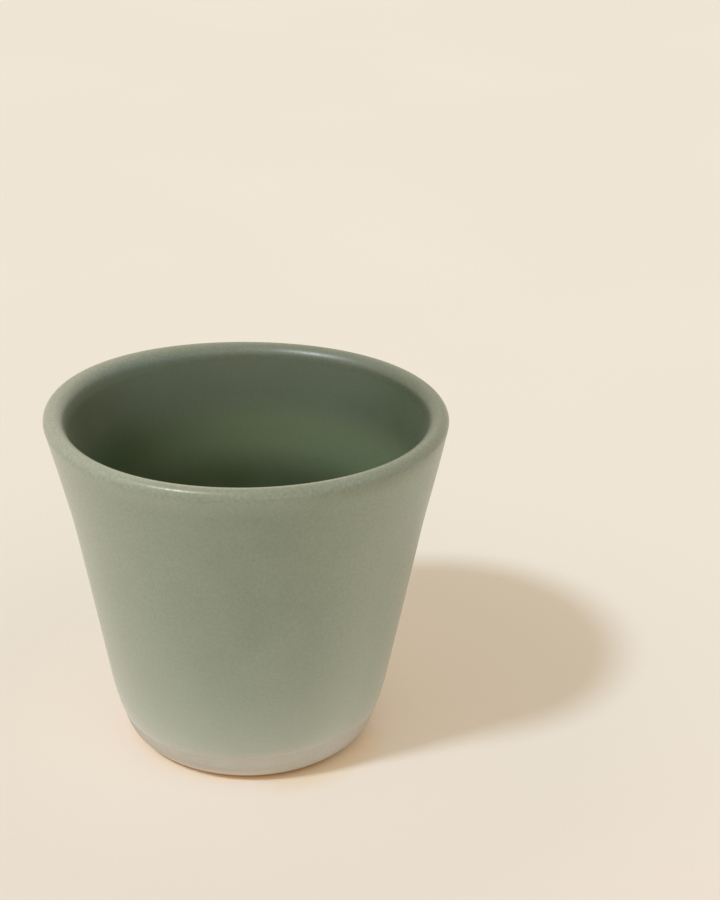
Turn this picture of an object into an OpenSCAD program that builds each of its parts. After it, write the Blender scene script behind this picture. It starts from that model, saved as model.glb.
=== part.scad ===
// Handleless espresso cup in turned stoneware. The foot is bare clay, a satin glaze coats the
// outside and the lip, and a darker liner glaze coats the inside.
// The half section is a chain of straight runs with rounded corners, spun about the Z axis.
// Millimetres. The cup stands on z = 0.

/* [Cup] */
// Height from the table to the top of the glazed lip
cup_h = 62.4; // [54:0.1:80]
// Outside diameter across the glazed lip
rim_d = 70; // [62:0.5:86]
// Diameter at which the wall would reach the table if its heel were sharp
foot_d = 44.4; // [40:0.2:52]

/* [Wall] */
// Thickness across the glazed lip, square to the wall
lip_t = 3.4; // [2.6:0.1:4.2]
// Radius of the lip's roll on the outside
lip_out_r = 1.25; // [0.8:0.05:1.8]
// Radius of the lip's softer roll on the inside
lip_in_r = 2.25; // [1:0.05:3]
// Thickness of the clay wall beside the inside floor
root_t = 3.6; // [2.6:0.1:5]
// Lean of the wall's lowest run from upright, in degrees
foot_lean = 14.5; // [10:0.5:20]
// Height at which the lowest run turns steeper
belly_h = 10.4; // [8:0.1:16]
// Radius of that turn
belly_r = 60; // [10:5:100]
// Lean of the wall's top run from upright, in degrees
rim_lean = 12.7; // [9:0.1:18]
// Depth below the lip at which the wall starts to flare
flare_drop = 19; // [12:0.5:26]
// Radius of the flare
flare_r = 150; // [20:10:200]

/* [Inside] */
// Thickness of the clay floor, from the table up
floor_t = 5.2; // [4:0.1:7]
// Radius between the inside floor and the wall
well_r = 9; // [4:0.5:12]
// Depth below the lip's inside roll at which the liner glaze takes over from the outside glaze
liner_drop = 1; // [0.5:0.1:4]

/* [Foot] */
// Height of the bevel round the heel
heel_h = 1.95; // [1:0.05:3.5]
// Depth of the bevel, inward along the table
heel_in = 2; // [1:0.05:4]
// Radius where the bevel meets the wall
heel_r = 6; // [1:0.1:9]
// Radius where the bevel meets the table
edge_r = 2.2; // [0.3:0.1:3]
// Width of the ring that the cup stands on
ring_w = 5.5; // [3:0.1:9]
// Depth of the recess turned into the underside
recess_h = 1.2; // [0.4:0.1:2]
// Width of the slope from the ring up into the recess
recess_slope = 2.4; // [1:0.1:4]
// Radius at the top and bottom of that slope
recess_r = 1.5; // [0.3:0.1:3]

/* [Glaze] */
// Thickness of both glaze coats
glaze_t = 0.25; // [0.15:0.05:0.5]
// Height of the line where the outside glaze stops above the foot
glaze_line_h = 6.8; // [4:0.1:14]

/* [Hidden] */
$fa = 0.5;
$fs = 0.15;
turns = 180;
// Rounds stand this much proud of the runs that they are tangent to, so that they cross them
hair = 0.004;

// Unit vector along v
function unit(v) = v / norm(v);
// Outward normal of the run from a to b, on the right of the way from a to b
function outward(a, b) = let (u = unit(b - a)) [u.y, -u.x];
// Angle turned at b, positive where the outline bulges outward
function turn(a, b, c) = let (u = b - a, v = c - b) atan2(u.x * v.y - u.y * v.x, u * v);
// Chain of runs p moved outward by g, its two ends square to their own runs
function grown(p, g) = let (last = len(p) - 1) [
    for (i = [0:last])
        let (before = outward(p[max(i - 1, 0)], p[max(i, 1)]))
        let (after = outward(p[min(i, last - 1)], p[min(i + 1, last)]))
        p[i] + g * (before + after) / (1 + before * after)
];
// Radius r at corner b, or the largest that its share of both runs has room for
function fitting(a, b, c, r, share) =
    min(r, share * min(norm(b - a), norm(c - b)) / tan(abs(turn(a, b, c)) / 2));

// The wall's top run has parallel sides, so this is its thickness and its width along the level top
wall_t = lip_t - 2 * glaze_t;
top_w = wall_t / cos(rim_lean);
// Share of the top that each roll may take up, and the clay's own radii under the glaze
out_share = 0.42;
in_share = 0.55;
out_r = min(lip_out_r - glaze_t, out_share * top_w / tan(45 + rim_lean / 2));
in_r = min(lip_in_r - glaze_t, in_share * top_w / tan(45 - rim_lean / 2));

// Corners of the clay's half section: from the axis under the foot, up the outside, over the lip,
// and down the inside to the floor's centre
stand_r = foot_d / 2 - heel_in;
ring_in_r = stand_r - ring_w;
heel_top = [foot_d / 2 + heel_h * tan(foot_lean), heel_h];
belly = [foot_d / 2 + belly_h * tan(foot_lean), belly_h];
lip_out = [rim_d / 2 - glaze_t - out_r + out_r * tan(45 + rim_lean / 2), cup_h - glaze_t];
lip_in = lip_out - [top_w, 0];
flare = lip_out - (lip_out.y - cup_h + flare_drop) * [tan(rim_lean), 1];
flare_in = flare - [top_w, 0];
root = [foot_d / 2 + floor_t * tan(foot_lean) - root_t, floor_t];
runs = [
    [0, recess_h],
    [ring_in_r - recess_slope, recess_h],
    [ring_in_r, 0],
    [stand_r, 0],
    heel_top,
    belly,
    flare,
    lip_out,
    lip_in,
    flare_in,
    root,
    [0, floor_t]
];
// Radius of each corner, and the share of its shorter run that it may take up
radii = [0, recess_r, recess_r, edge_r, heel_r, belly_r, flare_r, out_r, in_r, 0, well_r, 0];
shares = [0, 0.45, 0.45, 0.3, 0.65, 0.3, 0.45, out_share, in_share, 0, 0.9, 0];

// Points down the middle of the wall, which part the outside from the inside
belly_in = root + (flare_in - root) * (belly.y - root.y) / (flare_in.y - root.y);
core_flare = (flare + flare_in) / 2;
core_belly = (belly + belly_in) / 2;
core_foot_r = root.x + root_t / 2;
// The two coats meet on a line square to the inside wall, from within the clay to over the mouth
seam = lip_in + (in_r * tan(45 - rim_lean / 2) + liner_drop) * unit(flare_in - lip_in);
seam_core = seam - wall_t / 2 * outward(lip_in, flare_in);
seam_mouth = seam + lip_t * outward(lip_in, flare_in);

// Sliver between the corner b and its round, drawn a little past b so that it overlaps its runs
module sliver(a, b, c, r) {
    u = unit(a - b);
    v = unit(c - b);
    half = acos(u * v) / 2;
    reach = r / tan(half);
    difference() {
        polygon([b - unit(u + v) * reach / 10, b + u * reach, b + v * reach]);
        translate(b + unit(u + v) * r / sin(half)) circle(r + hair);
    }
}

// Slivers at the corners that turn the way of side, with the half section grown by g
module slivers(g, side) {
    moved = grown(runs, g);
    for (i = [1:len(runs) - 2])
        if (radii[i] > 0 && turn(runs[i - 1], runs[i], runs[i + 1]) * side > 0) {
            r = fitting(runs[i - 1], runs[i], runs[i + 1], radii[i], shares[i]) + side * g;
            sliver(moved[i - 1], moved[i], moved[i + 1], r);
        }
}

// Half section of the clay with every surface moved out by g
module section(g) {
    difference() {
        union() {
            polygon(grown(runs, g));
            slivers(g, -1);
        }
        slivers(g, 1);
    }
}

// Coat of glaze all round the clay's half section
module coat() {
    difference() {
        section(glaze_t);
        section(0);
    }
}

// Fired clay: wall, floor, heel and the ring that it stands on
module clay_body() {
    color([0.69, 0.65, 0.57]) rotate_extrude($fn = turns) section(0);
}

// Outside glaze, from the glaze line up the wall and over the lip
module outside_glaze() {
    clear = rim_d / 2 + lip_t;
    above = cup_h + lip_t;
    color([0.54, 0.55, 0.46]) rotate_extrude($fn = turns) intersection() {
        coat();
        translate([0, glaze_line_h]) square([clear, above]);
        polygon([
            [core_foot_r, 0],
            [clear, 0],
            [clear, above],
            [seam_mouth.x, above],
            seam_mouth,
            seam_core,
            core_flare,
            core_belly
        ]);
    }
}

// Liner glaze, from the lip's inner edge down the wall and across the floor
module liner_glaze() {
    color([0.33, 0.36, 0.28]) rotate_extrude($fn = turns) intersection() {
        coat();
        polygon([
            [0, floor_t / 2],
            [core_foot_r, floor_t / 2],
            core_belly,
            core_flare,
            seam_core,
            seam_mouth,
            [0, seam_mouth.y]
        ]);
    }
}

clay_body();
outside_glaze();
liner_glaze();
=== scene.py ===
import math

import bpy
from mathutils import Matrix, Vector


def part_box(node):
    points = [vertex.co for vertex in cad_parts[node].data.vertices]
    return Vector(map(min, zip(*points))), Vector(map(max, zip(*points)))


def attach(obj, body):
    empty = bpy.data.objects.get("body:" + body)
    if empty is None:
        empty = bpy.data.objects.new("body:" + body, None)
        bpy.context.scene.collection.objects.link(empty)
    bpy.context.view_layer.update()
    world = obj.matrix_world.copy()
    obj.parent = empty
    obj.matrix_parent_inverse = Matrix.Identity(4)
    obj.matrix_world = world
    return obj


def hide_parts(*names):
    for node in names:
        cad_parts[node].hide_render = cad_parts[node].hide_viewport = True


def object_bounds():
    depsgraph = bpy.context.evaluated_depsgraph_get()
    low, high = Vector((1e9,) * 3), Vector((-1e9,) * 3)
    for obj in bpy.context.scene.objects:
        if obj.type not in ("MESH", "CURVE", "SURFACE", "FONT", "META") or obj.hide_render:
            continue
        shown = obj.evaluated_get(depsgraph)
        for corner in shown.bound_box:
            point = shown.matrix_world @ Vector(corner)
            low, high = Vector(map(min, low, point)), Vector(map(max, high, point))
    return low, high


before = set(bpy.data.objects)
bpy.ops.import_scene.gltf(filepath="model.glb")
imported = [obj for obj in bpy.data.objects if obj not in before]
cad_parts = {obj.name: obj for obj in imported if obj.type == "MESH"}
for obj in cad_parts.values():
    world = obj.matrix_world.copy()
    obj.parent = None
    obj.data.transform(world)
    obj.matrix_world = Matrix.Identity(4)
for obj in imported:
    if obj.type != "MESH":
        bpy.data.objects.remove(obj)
cad_low, cad_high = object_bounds()

# Clay body: the pot itself, wall, floor, heel and standing ring turned from one lump of pale
# stoneware. The half section is drawn as straight runs with round corners and spun about the cup's
# axis. Drying and firing leave it slightly out of round, its rim uneven by a fraction of a millimetre.
mm = 0.001
rows_every = 1.0 * mm
arc_step = math.radians(7.5)
steps_round = 240
merge_gap = 0.002 * mm
smooth_below = math.radians(35)

clay_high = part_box("clay_body")[1]
wall_t = 2.9 * mm
lip_out_r = 1.0 * mm
lip_in_r = 2.0 * mm
rim_lean = math.radians(12.7)
flare_h = cad_high.z - 19.0 * mm
flare_round = 150 * mm
belly_h = 10.4 * mm
belly_round = 60 * mm
foot_lean = math.radians(14.5)
foot_r = 22.2 * mm
heel_h = 1.95 * mm
heel_round = 6 * mm
stand_r = 20.2 * mm
edge_round = 2.2 * mm
ring_in_r = 14.7 * mm
recess_r = 12.3 * mm
recess_h = 1.2 * mm
recess_round = 1.5 * mm
floor_h = 5.2 * mm
wall_root = 3.6 * mm
well_round = 9 * mm


def wall_r(height):
    """Radius of the wall's lowest run, which leans out from the foot."""
    return foot_r + height * math.tan(foot_lean)


def outward(a, b):
    """Unit normal of the run from a to b, on the right of the way from a to b."""
    along = (Vector(b[:2]) - Vector(a[:2])).normalized()
    return Vector((along.y, -along.x))


def turn_at(a, b, c):
    """Angle turned at corner b, positive where the outline bulges outward."""
    before = Vector(b[:2]) - Vector(a[:2])
    after = Vector(c[:2]) - Vector(b[:2])
    return math.atan2(before.x * after.y - before.y * after.x, before.dot(after))


def run_to(start, end):
    """Extrude the pen's vertex from start to end in even steps."""
    way = end - start
    steps = math.ceil(way.length / rows_every - 1e-4)
    for _ in range(steps):
        move = (way.x / steps, 0, way.y / steps)
        bpy.ops.mesh.extrude_vertices_move(TRANSFORM_OT_translate={"value": move})


def turned(name, corners):
    """Draw a half section of (radius, height, round) corners and spin it about the cup's axis."""
    bpy.ops.object.select_all(action="DESELECT")
    bpy.ops.mesh.primitive_plane_add(size=mm)
    piece = bpy.context.object
    piece.name = name
    piece.data.name = name
    bpy.ops.object.mode_set(mode="EDIT")
    bpy.ops.mesh.select_mode(type="VERT")
    bpy.ops.mesh.merge(type="CENTER")
    pen = Vector(corners[0][:2])
    bpy.ops.transform.translate(value=(pen.x, 0, pen.y))
    for a, b, c in zip(corners, corners[1:], corners[2:] + [None]):
        corner = Vector(b[:2])
        radius = b[2]
        if c is None or radius == 0:
            run_to(pen, corner)
            pen = corner
            continue
        turn = turn_at(a, b, c)
        reach = radius * math.tan(abs(turn) / 2)
        start = corner + (Vector(a[:2]) - corner).normalized() * reach
        side = math.copysign(1, turn)
        centre = start - outward(a, b) * radius * side
        run_to(pen, start)
        arc_steps = math.ceil(max(abs(turn) / arc_step, abs(turn) * radius / rows_every))
        bpy.ops.mesh.spin(
            steps=arc_steps, angle=turn, center=(centre.x, 0, centre.y), axis=(0, 1, 0)
        )
        pen = corner + (Vector(c[:2]) - corner).normalized() * reach
    bpy.ops.mesh.select_all(action="SELECT")
    bpy.ops.mesh.spin(steps=steps_round, angle=math.tau, center=(0, 0, 0), axis=(0, 0, 1))
    bpy.ops.mesh.select_all(action="SELECT")
    bpy.ops.mesh.remove_doubles(threshold=merge_gap)
    bpy.ops.mesh.normals_make_consistent(inside=False)
    bpy.ops.object.mode_set(mode="OBJECT")
    return piece


# The kiln's pull: shares of the radius, lengths and directions, all growing from foot to rim
oval, oval_at = 0.0039, math.radians(-20)
three_lobed, lobe_at = 0.0019, math.radians(39)
rim_sink, rim_lobes = 0.17 * mm, 0.17 * mm
rim_tilt, tilt_to = 0.20 * mm, math.radians(-114)
rim_saddle, saddle_at = 0.19 * mm, math.radians(-27)
bow, rim_pull = 0.19 * mm, 0.18 * mm
# This makes the bow's curve peak at one, two thirds of the way up
bow_peak = 27 / 4


def fired(piece):
    """Store each point's level, pull the piece gently out of round, and shade it smooth."""
    level = piece.data.attributes.new("level", "FLOAT", "POINT")
    for vertex in piece.data.vertices:
        level.data[vertex.index].value = vertex.co.z
        share = vertex.co.z / cad_high.z
        at = math.atan2(vertex.co.y, vertex.co.x)
        swell = oval * math.cos(2 * (at - oval_at)) + three_lobed * math.cos(3 * (at - lobe_at))
        lift = rim_tilt * math.cos(at - tilt_to) + rim_saddle * math.cos(2 * (at - saddle_at))
        lift += rim_lobes * math.cos(3 * (at - lobe_at)) - rim_sink
        vertex.co.z += share * lift * vertex.co.xy.length / cad_high.x
        vertex.co.x *= 1 + share * swell
        vertex.co.y *= 1 + share * swell
        vertex.co.x += bow * bow_peak * share ** 2 * (1 - share) - rim_pull * share ** 8
    bpy.ops.object.select_all(action="DESELECT")
    piece.select_set(True)
    bpy.context.view_layer.objects.active = piece
    bpy.ops.object.shade_smooth_by_angle(angle=smooth_below)


wall_across = wall_t / math.cos(rim_lean)
out_reach = lip_out_r * math.tan(math.pi / 4 + rim_lean / 2)
in_reach = lip_in_r * math.tan(math.pi / 4 - rim_lean / 2)
lip_out = (clay_high.x - lip_out_r + out_reach, clay_high.z, lip_out_r)
lip_in = (lip_out[0] - wall_across, clay_high.z, lip_in_r)
flare_r = lip_out[0] - (clay_high.z - flare_h) * math.tan(rim_lean)
flare = (flare_r, flare_h, flare_round)
flare_in = (flare_r - wall_across, flare_h, 0)
belly = (wall_r(belly_h), belly_h, belly_round)
well = (wall_r(floor_h) - wall_root, floor_h, well_round)
floor_middle = (0, floor_h, 0)
underside = [
    (0, recess_h, 0),
    (recess_r, recess_h, recess_round),
    (ring_in_r, 0, recess_round),
    (stand_r, 0, edge_round),
    (wall_r(heel_h), heel_h, heel_round),
]
upper_side = [belly, flare, lip_out, lip_in, flare_in, well, floor_middle]
clay_body = turned("stoneware_body", underside + upper_side)
fired(clay_body)


def srgb(red, green, blue):
    """Linear colour of a screen colour given from 0 to 255."""
    channels = []
    for value in (red, green, blue):
        share = value / 255
        channels.append(share / 12.92 if share <= 0.04045 else ((share + 0.055) / 1.055) ** 2.4)
    return (*channels, 1)


def add_node(tree, kind, inputs, **settings):
    """Add a shader node with its settings, and set or wire each of its inputs."""
    made = tree.nodes.new(kind)
    for name, value in settings.items():
        setattr(made, name, value)
    for socket, value in inputs.items():
        if isinstance(value, bpy.types.NodeSocket):
            tree.links.new(value, made.inputs[socket])
        else:
            made.inputs[socket].default_value = value
    return made


def ramp(tree, value, low, high, to_low=0.0, to_high=1.0):
    """Smooth step of a value from low to high, as a number."""
    inputs = {
        "Value": value,
        "From Min": low,
        "From Max": high,
        "To Min": to_low,
        "To Max": to_high,
    }
    return add_node(tree, "ShaderNodeMapRange", inputs, interpolation_type="SMOOTHSTEP").outputs[0]


def combined(tree, operation, first, second):
    """Sum, product or other mathematics of two numbers."""
    return add_node(tree, "ShaderNodeMath", {0: first, 1: second}, operation=operation).outputs[0]


def mixed(tree, share, first, second):
    """Colour between first and second by share."""
    mix = add_node(tree, "ShaderNodeMix", {0: share, 6: first, 7: second}, data_type="RGBA")
    return mix.outputs[2]


def laid_over(tree, tone, colour, first_mask, *masks):
    """A tone with a colour laid over it by the product of its masks."""
    share = first_mask
    for mask in masks:
        share = combined(tree, "MULTIPLY", share, mask)
    return mixed(tree, share, tone, colour)


# Fired surface: soft clouds, fine mottle and sparse iron specks that clay and glaze share
fired_surface = bpy.data.node_groups.new("fired_surface", "ShaderNodeTree")
sockets = fired_surface.interface
sockets.new_socket("Place", in_out="INPUT", socket_type="NodeSocketVector")
for name in ("Cloud Scale", "Mottle Scale", "Speck Scale"):
    sockets.new_socket(name, in_out="INPUT", socket_type="NodeSocketFloat")
for name in ("Cloud", "Mottle", "Specks"):
    sockets.new_socket(name, in_out="OUTPUT", socket_type="NodeSocketFloat")
group_in = fired_surface.nodes.new("NodeGroupInput")
group_out = fired_surface.nodes.new("NodeGroupOutput")
place = group_in.outputs["Place"]
cloud = add_node(
    fired_surface,
    "ShaderNodeTexNoise",
    {"Vector": place, "Scale": group_in.outputs["Cloud Scale"], "Detail": 2.0, "Roughness": 0.55},
)
mottle = add_node(
    fired_surface,
    "ShaderNodeTexNoise",
    {"Vector": place, "Scale": group_in.outputs["Mottle Scale"], "Detail": 3.0, "Roughness": 0.6},
)
cells = add_node(
    fired_surface,
    "ShaderNodeTexVoronoi",
    {"Vector": place, "Scale": group_in.outputs["Speck Scale"]},
)
lot = add_node(fired_surface, "ShaderNodeSeparateColor", {"Color": cells.outputs["Color"]})
speck_size = ramp(fired_surface, lot.outputs["Red"], 0.93, 1.0, 0.0, 0.10)
speck_edge = combined(fired_surface, "SUBTRACT", speck_size, cells.outputs["Distance"])
specks = ramp(fired_surface, speck_edge, -0.02, 0.05)
tie = fired_surface.links.new
tie(ramp(fired_surface, cloud.outputs["Fac"], 0.32, 0.68), group_out.inputs["Cloud"])
tie(ramp(fired_surface, mottle.outputs["Fac"], 0.30, 0.70), group_out.inputs["Mottle"])
tie(specks, group_out.inputs["Specks"])


def new_material(name):
    """Empty material with a Principled shader, its tree, and the piece's own coordinates."""
    material = bpy.data.materials.new(name)
    material.use_nodes = True
    tree = material.node_tree
    shader = tree.nodes["Principled BSDF"]
    coordinates = add_node(tree, "ShaderNodeTexCoord", {})
    return material, tree, shader, coordinates.outputs["Object"]


def surface_of(tree, place, cloud_scale, mottle_scale, speck_scale):
    """The shared fired surface with a material's own scales, in patches per metre."""
    made = tree.nodes.new("ShaderNodeGroup")
    made.node_tree = fired_surface
    tree.links.new(place, made.inputs["Place"])
    made.inputs["Cloud Scale"].default_value = cloud_scale
    made.inputs["Mottle Scale"].default_value = mottle_scale
    made.inputs["Speck Scale"].default_value = speck_scale
    return made.outputs


def clay_colour(tree, grain):
    """Pale stoneware, cloudy, with a fine darker grain and a few iron specks."""
    tone = mixed(tree, grain["Cloud"], srgb(188, 183, 171), srgb(194, 190, 179))
    tone = laid_over(tree, tone, srgb(180, 172, 158), grain["Mottle"], 0.25)
    return laid_over(tree, tone, srgb(140, 122, 100), grain["Specks"], 0.4)


def toward(tree, axes, degrees):
    """How far a point lies from the cup's axis along a heading."""
    heading = math.radians(degrees)
    across = combined(tree, "MULTIPLY", axes["X"], math.cos(heading))
    along = combined(tree, "MULTIPLY", axes["Y"], math.sin(heading))
    return combined(tree, "ADD", across, along)


bare_clay, tree, shader, place = new_material("bare_stoneware")
grain = surface_of(tree, place, cloud_scale=90, mottle_scale=1900, speck_scale=650)
axes = add_node(tree, "ShaderNodeSeparateXYZ", {"Vector": place}).outputs
# Painted light: the bare clay is paler low on the heel on the lamp's side, at the front left
heel_lamp_side = ramp(tree, toward(tree, axes, -145), 2 * mm, 16 * mm)
heel_lit_band = ramp(tree, axes["Z"], 3.0 * mm, 1.3 * mm)
tone = laid_over(tree, clay_colour(tree, grain), srgb(211, 203, 190), heel_lamp_side, heel_lit_band)
tree.links.new(tone, shader.inputs["Base Color"])
tree.links.new(ramp(tree, grain["Mottle"], 0, 1, 0.72, 0.86), shader.inputs["Roughness"])
tooth = add_node(
    tree,
    "ShaderNodeBump",
    {"Height": grain["Mottle"], "Strength": 0.5, "Distance": 0.03 * mm},
)
tree.links.new(tooth.outputs["Normal"], shader.inputs["Normal"])
clay_body.data.materials.append(bare_clay)
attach(clay_body, "root")
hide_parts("clay_body")

# Outside glaze: a satin sage coat a quarter of a millimetre thick, dipped and fired onto the wall
# and lip. It stops above the foot on a line that wavers by hand, where the coat thins and turns paler.
glaze_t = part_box("outside_glaze")[1].x - clay_high.x
glaze_line_h = 5.75 * mm
edge_t = 0.03 * mm
feather = 0.65 * mm
thin_reach = 12 * mm
wave_reach = 3 * mm
seam_drop = 1.0 * mm


def grown(corners, gap):
    """The chain of corners moved outward by gap, with its rounds kept parallel."""
    last = len(corners) - 1
    moved = []
    for i, corner in enumerate(corners):
        before = outward(corners[max(i - 1, 0)], corners[max(i, 1)])
        after = outward(corners[min(i, last - 1)], corners[min(i + 1, last)])
        place = Vector(corner[:2]) + (before + after) * gap / (1 + before.dot(after))
        radius = corner[2]
        if radius > 0:
            bulge = turn_at(corners[i - 1], corner, corners[i + 1])
            radius += math.copysign(gap, bulge)
        moved.append((place.x, place.y, radius))
    return moved


edge = (wall_r(glaze_line_h), glaze_line_h, 0)
down_inside = Vector((-math.sin(rim_lean), -math.cos(rim_lean)))
seam_place = Vector(lip_in[:2]) + down_inside * (in_reach + seam_drop)
seam = (*seam_place, 0)
clay_side = [edge, belly, flare, lip_out, lip_in, seam]
air_side = grown(clay_side, glaze_t)
outside_glaze = turned("outside_glaze_coat", air_side + clay_side[::-1] + air_side[:1])

# Each wave of the glaze line: how many round the cup, its height and where it crests
line_waves = (
    (2, 0.33 * mm, math.radians(-62)),
    (3, 0.27 * mm, math.radians(-62)),
)
# Each wave of painted light on the wall: how many round the cup, its share and where the wall is palest
painted_light_waves = (
    (1, 0.5, math.radians(-165)),
    (3, 0.5, math.radians(-157)),
    (5, 0.14, math.radians(-41)),
)


def wave_sum(waves, at):
    """Height at an angle of waves that run round the cup."""
    return sum(height * math.cos(count * (at - crest)) for count, height, crest in waves)


thin_glaze = outside_glaze.data.attributes.new("thin_glaze", "FLOAT", "POINT")
painted_light_side = outside_glaze.data.attributes.new("painted_light_side", "FLOAT", "POINT")
glaze_end = outside_glaze.data.attributes.new("glaze_end", "FLOAT", "POINT")
for vertex in outside_glaze.data.vertices:
    above = max(vertex.co.z - glaze_line_h, 0)
    at = math.atan2(vertex.co.y, vertex.co.x)
    near_end = math.exp(-above / feather)
    glaze_end.data[vertex.index].value = near_end
    thin_glaze.data[vertex.index].value = math.exp(-above / thin_reach)
    painted_light_side.data[vertex.index].value = 0.5 + 0.5 * wave_sum(painted_light_waves, at)
    proud = max(vertex.co.xy.length - wall_r(vertex.co.z), 0)
    slide = wave_sum(line_waves, at) * math.exp(-above / wave_reach)
    shift = slide * math.tan(foot_lean) - proud * near_end * (1 - edge_t / glaze_t)
    vertex.co.x += shift * math.cos(at)
    vertex.co.y += shift * math.sin(at)
    vertex.co.z += slide
fired(outside_glaze)


def stored(tree, name):
    """A number stored on the points of a piece."""
    return add_node(tree, "ShaderNodeAttribute", {}, attribute_name=name).outputs["Fac"]


def glaze_material(name):
    """Satin glaze with its fine mottle in relief, and the coordinates and level for its colours."""
    material, tree, shader, place = new_material(name)
    skin = surface_of(tree, place, cloud_scale=110, mottle_scale=1900, speck_scale=430)
    axes = add_node(tree, "ShaderNodeSeparateXYZ", {"Vector": place}).outputs
    shader.inputs["Specular IOR Level"].default_value = 0.8
    shader.inputs["Specular Tint"].default_value = (1.0, 0.80, 0.64, 1)
    shader.inputs["Sheen Weight"].default_value = 0.15
    shader.inputs["Sheen Roughness"].default_value = 0.45
    shader.inputs["Sheen Tint"].default_value = (1.0, 0.97, 0.92, 1)
    peel = add_node(
        tree,
        "ShaderNodeBump",
        {"Height": skin["Mottle"], "Strength": 0.2, "Distance": 0.02 * mm},
    )
    tree.links.new(peel.outputs["Normal"], shader.inputs["Normal"])
    return material, tree, shader, skin, axes, stored(tree, "level")


def tinted(tree, share, tone, tint):
    """A tone multiplied by a tint, by share."""
    inputs = {0: share, 6: tone, 7: tint}
    mix = add_node(tree, "ShaderNodeMix", inputs, data_type="RGBA", blend_type="MULTIPLY")
    return mix.outputs[2]


def dappled(tree, skin, tone, share, speck):
    """A glaze tone with its share of fine mottle and its sparse specks laid over it."""
    mottle_share = combined(tree, "MULTIPLY", skin["Mottle"], share)
    mottled = tinted(tree, mottle_share, tone, (0.78, 0.78, 0.76, 1))
    return laid_over(tree, mottled, speck, skin["Specks"], 0.45)


def from_axis(tree, axes):
    """Distance of a point from the cup's axis."""
    across = combined(tree, "POWER", axes["X"], 2.0)
    along = combined(tree, "POWER", axes["Y"], 2.0)
    return combined(tree, "SQRT", combined(tree, "ADD", across, along), 0.0)


lip_top = cad_high.z
crest_r = clay_high.x - lip_out_r


def inward_of_crest(tree, axes):
    """How far a point lies inside the lip's crest."""
    return combined(tree, "SUBTRACT", crest_r, from_axis(tree, axes))


def lip_tone(tree, axes):
    """Tone of the lip, paler towards the front left and darker towards the back right."""
    pale_side = ramp(tree, toward(tree, axes, -148), -36 * mm, 52 * mm)
    return mixed(tree, pale_side, srgb(118, 127, 106), srgb(169, 173, 151))


def past_crest(tree, axes, level):
    """How far the lip's tone has turned into the liner's, by the way inward and down from the crest."""
    down = combined(tree, "SUBTRACT", lip_top, level)
    way = combined(tree, "ADD", inward_of_crest(tree, axes), down)
    fade = ramp(tree, toward(tree, axes, 200), -25 * mm, 25 * mm, 3.8 * mm, 6.4 * mm)
    return combined(tree, "DIVIDE", way, fade)


def liner_top(tree, axes):
    """Tone of the liner's top, which is paler on the far side."""
    far_side = ramp(tree, toward(tree, axes, 95), 3 * mm, 28 * mm)
    return mixed(tree, far_side, srgb(75, 87, 60), srgb(98, 109, 89))


satin, tree, shader, skin, axes, level = glaze_material("satin_sage_glaze")

# Painted light makes the wall paler on the lamp's side at the left and towards the front right, and
# greener between; it is also paler where the coat runs thin towards the foot
side = stored(tree, "painted_light_side")
thin = stored(tree, "thin_glaze")
tone = mixed(tree, side, srgb(110, 129, 115), srgb(155, 165, 146))
tone = laid_over(tree, tone, srgb(150, 162, 142), skin["Cloud"], 0.2)
tone = laid_over(tree, tone, srgb(179, 187, 174), thin, 0.9)
# The coat's end near the foot is palest where the painted light is strongest
last_thin = combined(tree, "POWER", thin, 5.0)
most_lit = ramp(tree, side, 0.33, 0.68)
tone = laid_over(tree, tone, srgb(190, 197, 184), last_thin, most_lit, 0.5)

# Below the lip the coat is paler at the front, and darker in a band on the right
pale_side = ramp(tree, toward(tree, axes, -102), 24 * mm, 34 * mm)
pale_band = ramp(tree, level, lip_top - 5.5 * mm, lip_top - 2.0 * mm)
tone = laid_over(tree, tone, srgb(180, 190, 166), pale_side, pale_band, 0.17)
darker_side = ramp(tree, toward(tree, axes, -15), 16 * mm, 32 * mm)
darker_band = ramp(tree, level, lip_top - 4.9 * mm, lip_top - 1.4 * mm)
tone = laid_over(tree, tone, srgb(108, 119, 99), darker_side, darker_band, 0.5)

# The lip has a tone of its own, which is warmer along the crest at the front
front = toward(tree, axes, -90)
inward = inward_of_crest(tree, axes)
crest = ramp(tree, inward, 0.3 * mm, -0.2 * mm)
warm_crest = combined(tree, "MULTIPLY", crest, ramp(tree, front, 29 * mm, 34 * mm))
lip = tinted(tree, warm_crest, lip_tone(tree, axes), (0.873, 0.857, 0.823, 1))
over_lip = ramp(tree, level, lip_top - 1.4 * mm, lip_top - 0.1 * mm)
tone = mixed(tree, over_lip, tone, lip)

# The inner roll turns into the liner's tone, below a painted highlight along its edge at the front
seam_h = seam_place.y
near_lip = ramp(tree, level, seam_h - 2.0 * mm, seam_h - 0.5 * mm)
inside = combined(tree, "MULTIPLY", ramp(tree, inward, 0.0, 0.5 * mm), near_lip)
tone = laid_over(tree, tone, liner_top(tree, axes), inside, past_crest(tree, axes, level))
above_seam = ramp(tree, level, seam_h + 0.3 * mm, seam_h + 1.3 * mm)
glint_edge = ramp(tree, inward, 0.1 * mm, 0.6 * mm)
glint_front = ramp(tree, front, 21 * mm, 31 * mm)
tone = laid_over(tree, tone, srgb(190, 196, 172), glint_front, glint_edge, above_seam, 0.35)

# Mottle grows stronger up the wall and over the lip, and the coat's end lets the clay show
wall_mottle = ramp(tree, axes["Z"], 10 * mm, 40 * mm, 0.25, 0.5)
lip_mottle = ramp(tree, level, lip_top - 3.0 * mm, lip_top - 1.0 * mm, 0.0, 0.35)
mottle_share = combined(tree, "ADD", wall_mottle, lip_mottle)
tone = dappled(tree, skin, tone, mottle_share, srgb(86, 84, 66))
tone = mixed(tree, stored(tree, "glaze_end"), tone, clay_colour(tree, skin))
tree.links.new(tone, shader.inputs["Base Color"])

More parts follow.
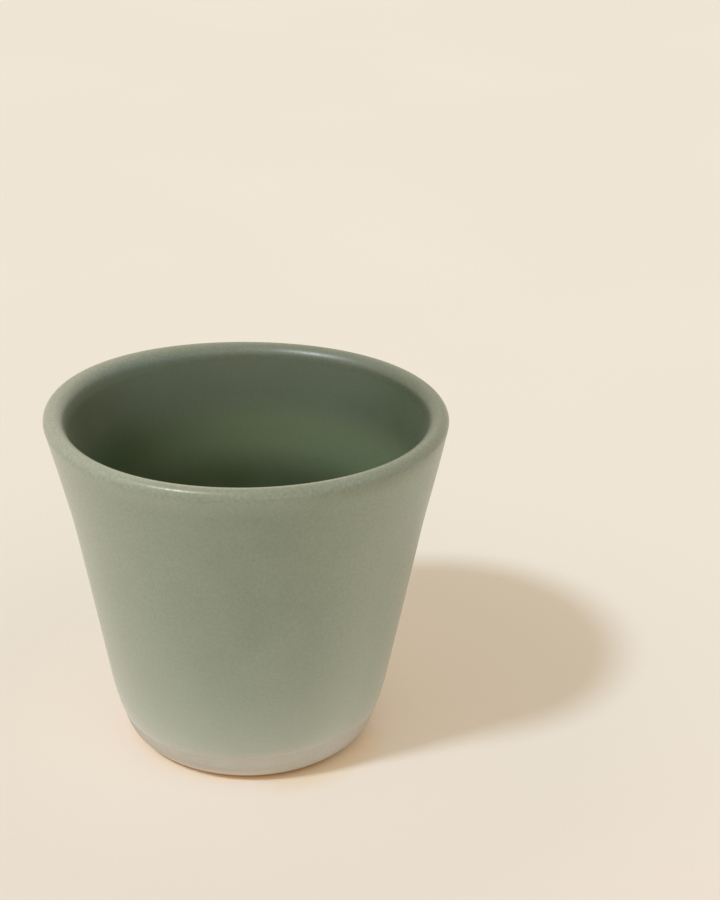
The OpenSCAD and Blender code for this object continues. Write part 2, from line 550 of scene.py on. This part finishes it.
# The satin is a little softer inside, with a polish on the inner roll
gloss = ramp(tree, skin["Mottle"], 0, 1, 0.29, 0.35)
softer = combined(tree, "MULTIPLY", inside, 0.06)
tree.links.new(combined(tree, "ADD", gloss, softer), shader.inputs["Roughness"])
polish = combined(tree, "MULTIPLY", above_seam, inside)
tree.links.new(combined(tree, "MULTIPLY", polish, 0.5), shader.inputs["Coat Weight"])
shader.inputs["Coat Roughness"].default_value = 0.42
outside_glaze.data.materials.append(satin)
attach(outside_glaze, "root")
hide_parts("outside_glaze")

# Liner glaze: the same kind of coat poured inside, from just under the lip down the wall and over
# the floor. It meets the outside glaze on a seam that the firing melts together.
liner_clay_side = [seam, flare_in, well, floor_middle]
liner_air_side = grown(liner_clay_side, glaze_t)
liner_glaze = turned("liner_glaze_coat", liner_air_side[::-1] + liner_clay_side)
fired(liner_glaze)
liner, tree, shader, skin, axes, level = glaze_material("liner_sage_glaze")
top = mixed(tree, past_crest(tree, axes, level), lip_tone(tree, axes), liner_top(tree, axes))
# Painted light and shade: a paler, greener band lies where the lamp lights the far wall at the back
# right, darker towards the front left
key_lit_side = ramp(tree, toward(tree, axes, 62), -9 * mm, 32 * mm)
lit_and_shaded_band = mixed(tree, key_lit_side, srgb(53, 75, 45), srgb(115, 128, 95))
tone = mixed(tree, ramp(tree, axes["Z"], 54 * mm, 46 * mm), top, lit_and_shaded_band)
# Painted shade darkens the lower wall and the floor of the cup
tone = mixed(tree, ramp(tree, axes["Z"], 44 * mm, 36 * mm), tone, srgb(71, 84, 52))
tone = laid_over(tree, tone, srgb(112, 118, 98), skin["Cloud"], 0.15)
tone = dappled(tree, skin, tone, 0.35, srgb(62, 62, 46))
tree.links.new(tone, shader.inputs["Base Color"])
tree.links.new(ramp(tree, skin["Mottle"], 0, 1, 0.38, 0.44), shader.inputs["Roughness"])
liner_glaze.data.materials.append(liner)
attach(liner_glaze, "root")
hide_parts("liner_glaze")

# Floor: a sheet of cream paper that the cup stands on, wide enough to reach the horizon. Painted shade
# makes the paper warmer and a little darker towards the front, painted light makes it paler round the
# foot, and a painted warm glow of bounced light lies close round the foot, warmest under its front
# right.
paper_w = 160
paper_h = -0.02 * mm
bpy.ops.object.select_all(action="DESELECT")
bpy.ops.mesh.primitive_plane_add(size=paper_w, location=(0, 0, paper_h))
paper = bpy.context.object
paper.name = "paper_floor"
cream, tree, shader, place = new_material("cream_paper")
fibres = surface_of(tree, place, cloud_scale=5, mottle_scale=700, speck_scale=60)
axes = add_node(tree, "ShaderNodeSeparateXYZ", {"Vector": place}).outputs
off_centre = from_axis(tree, axes)
tone = mixed(tree, fibres["Cloud"], srgb(237, 225, 209), srgb(239, 227, 212))
# Painted shade: warmer and a little darker towards the front
tone = mixed(tree, ramp(tree, axes["Y"], 40 * mm, -110 * mm), tone, srgb(238, 221, 204))
# Painted light: paler round the foot
tone = mixed(tree, ramp(tree, off_centre, 65 * mm, 22 * mm), tone, srgb(250, 233, 215))
# Painted warm glow of bounced light close round the foot
tone = mixed(tree, ramp(tree, off_centre, 24 * mm, 20.5 * mm), tone, srgb(254, 232, 205))
# Each patch of painted warm glow in the shade at the foot's front right: its heading, where it starts,
# where it is full, and its tone
painted_glow_patches = (
    (-45, 29 * mm, 22 * mm, srgb(249, 224, 192)),
    (-72, 21.8 * mm, 20.4 * mm, srgb(250, 211, 161)),
)
for heading, starts, full, glow in painted_glow_patches:
    facing = combined(tree, "DIVIDE", toward(tree, axes, heading), off_centre)
    fan = ramp(tree, facing, 0.74, 0.97)
    tone = laid_over(tree, tone, glow, fan, ramp(tree, off_centre, starts, full))
tree.links.new(tone, shader.inputs["Base Color"])
shader.inputs["Roughness"].default_value = 0.9
shader.inputs["Specular IOR Level"].default_value = 0.2
paper.data.materials.append(cream)

# Light: one small cool lamp high on the left, in front of the cup, and even warm light from all
# round, which turns cool towards a soft panel low on the right.
key_from = Vector((-0.486, -0.381, 0.787))
sun_data = bpy.data.lights.new("key", "SUN")
sun_data.energy = 1.64
sun_data.color = (0.605, 0.785, 1.0)
sun_data.angle = math.radians(7.4)
key = bpy.data.objects.new("key", sun_data)
key.rotation_euler = key_from.to_track_quat("Z", "Y").to_euler()
bpy.context.scene.collection.objects.link(key)

panel_from = (0.94, -0.30, 0.16)
warm_air = (0.774, 0.70, 0.592, 1)
cool_panel = (0.774, 0.87, 0.92, 1)
world = bpy.data.worlds.new("studio")
bpy.context.scene.world = world
world.use_nodes = True
tree = world.node_tree
way = add_node(tree, "ShaderNodeTexCoord", {}).outputs["Generated"]
both_ways = {0: way, 1: panel_from}
facing = add_node(tree, "ShaderNodeVectorMath", both_ways, operation="DOT_PRODUCT").outputs["Value"]
sky = mixed(tree, ramp(tree, facing, 0.6, 0.97), warm_air, cool_panel)
tree.links.new(sky, tree.nodes["Background"].inputs["Color"])

# Camera: the photograph's view, from in front of the cup and a little to its right, 24 degrees
# down on it and a degree out of level.
stand_at = Vector((19.574, -288.390, 182.445)) * mm
look_down = math.radians(23.90)
roll = math.radians(1.086)
camera_data = bpy.data.cameras.new("camera")
camera_data.lens = 72
camera_data.sensor_width = 36
camera = bpy.data.objects.new("camera", camera_data)
tilt = Matrix.Rotation(math.pi / 2 - look_down, 4, "X") @ Matrix.Rotation(roll, 4, "Z")
camera.matrix_world = Matrix.Translation(stand_at) @ tilt
bpy.context.scene.collection.objects.link(camera)
bpy.context.scene.camera = camera
bpy.context.scene.view_settings.view_transform = "Standard"
